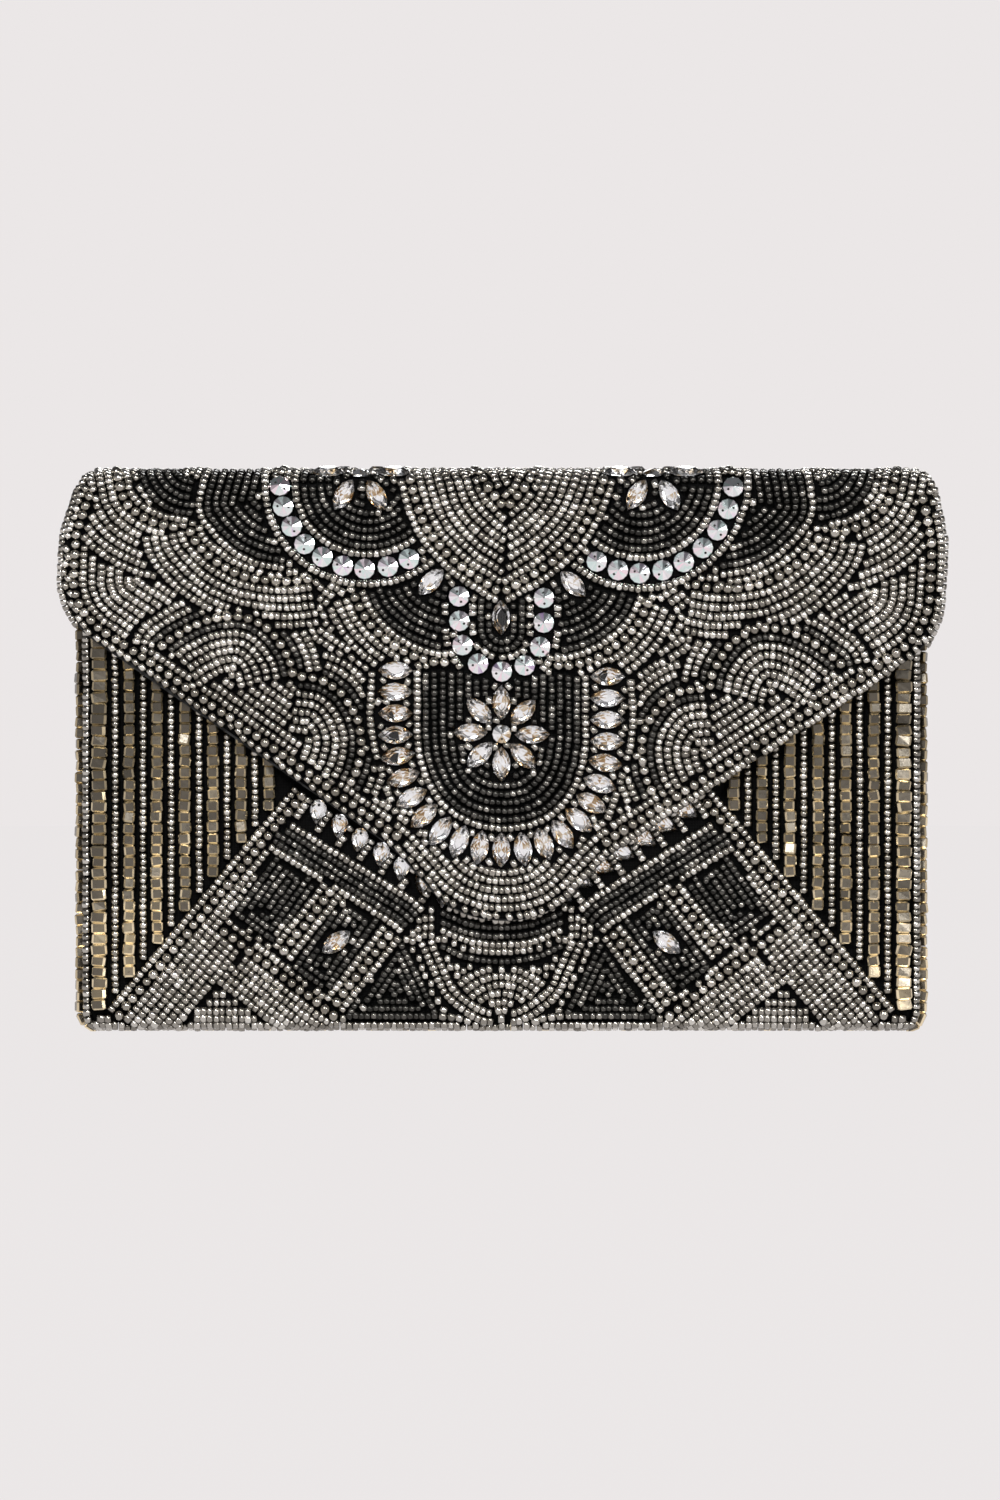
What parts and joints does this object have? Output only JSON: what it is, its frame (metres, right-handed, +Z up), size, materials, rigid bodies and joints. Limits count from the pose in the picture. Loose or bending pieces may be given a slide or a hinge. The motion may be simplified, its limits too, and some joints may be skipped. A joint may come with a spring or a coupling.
{
  "type": "clutch purse",
  "caption": "Envelope clutch purse covered in sewn beads and stones, with a slim lined pouch, a soft folding spine, a pointed flap and a hidden magnetic snap.",
  "frame": {"origin": "bottom centre of the purse's box, standing on its bottom edge", "axes": "+X along the width, +Y towards the back (the flap faces -Y), +Z up"},
  "size_m": [0.25, 0.0246, 0.1607],
  "materials": {
    "lining": "black satin lining",
    "stiffener": "stiff felt interlining",
    "cloth": "black woven ground cloth",
    "seed_beads": "glass seed beads with a nickel coat and charcoal lined ones",
    "cube_beads": "antique pewter and pale gold coat",
    "cut_stones": "clear faceted stones with a foil back",
    "round_stones": "clear faceted stones with an iridescent coat",
    "snap_metal": "nickel plate",
    "magnet": "sintered ring magnet"
  },
  "bodies": {
    "bag": {"back_beadwork": "seed_beads", "back_cloth": "cloth", "back_cube_columns": "cube_beads", "back_lining": "lining", "back_seed_strands": "seed_beads", "back_stiffener": "stiffener", "front_beadwork": "seed_beads", "front_cloth": "cloth", "front_lining": "lining", "front_marquises": "cut_stones", "front_stiffener": "stiffener", "left_cube_columns": "cube_beads", "left_seed_strands": "seed_beads", "pear_crystals": "cut_stones", "rear_crease_beadwork": "seed_beads", "rear_crease_cloth": "cloth", "rear_crease_lining": "lining", "right_cube_columns": "cube_beads", "right_seed_strands": "seed_beads", "snap_magnet": "magnet", "snap_socket": "snap_metal", "snap_socket_washer": "snap_metal"},
    "spine": {"front_crease_beadwork": "seed_beads", "front_crease_cloth": "cloth", "front_crease_lining": "lining", "spine_beadwork": "seed_beads", "spine_cloth": "cloth", "spine_lining": "lining", "spine_stiffener": "stiffener", "top_flower_centres": "cut_stones", "top_flower_spine_petals": "cut_stones"},
    "flap": {"flap_beadwork": "seed_beads", "flap_cloth": "cloth", "flap_lining": "lining", "flap_stiffener": "stiffener", "flower_centre": "cut_stones", "flower_petals": "cut_stones", "inner_marquise": "cut_stones", "lone_marquises": "cut_stones", "marquise_arc": "cut_stones", "round_stone_swags": "round_stones", "round_stone_u": "round_stones", "snap_stud": "snap_metal", "snap_stud_washer": "snap_metal", "top_flower_flap_petals": "cut_stones"}
  },
  "joints": [
    {"name": "rear_crease_fold", "type": "hinge", "parent": "bag", "child": "spine", "pos_m": [0, 0.00801, 0.15646], "axis": [-1, 0, 0], "range_deg": [0, 90], "deforming": ["rear_crease_beadwork", "rear_crease_cloth", "rear_crease_lining"]},
    {"name": "front_crease_fold", "type": "hinge", "parent": "spine", "child": "flap", "pos_m": [0, -0.00801, 0.15646], "axis": [-1, 0, 0], "range_deg": [0, 90], "deforming": ["front_crease_beadwork", "front_crease_cloth", "front_crease_lining"]}
  ],
  "couplings": [
    {"joint": "front_crease_fold", "follows": "rear_crease_fold", "ratio": 1}
  ]
}
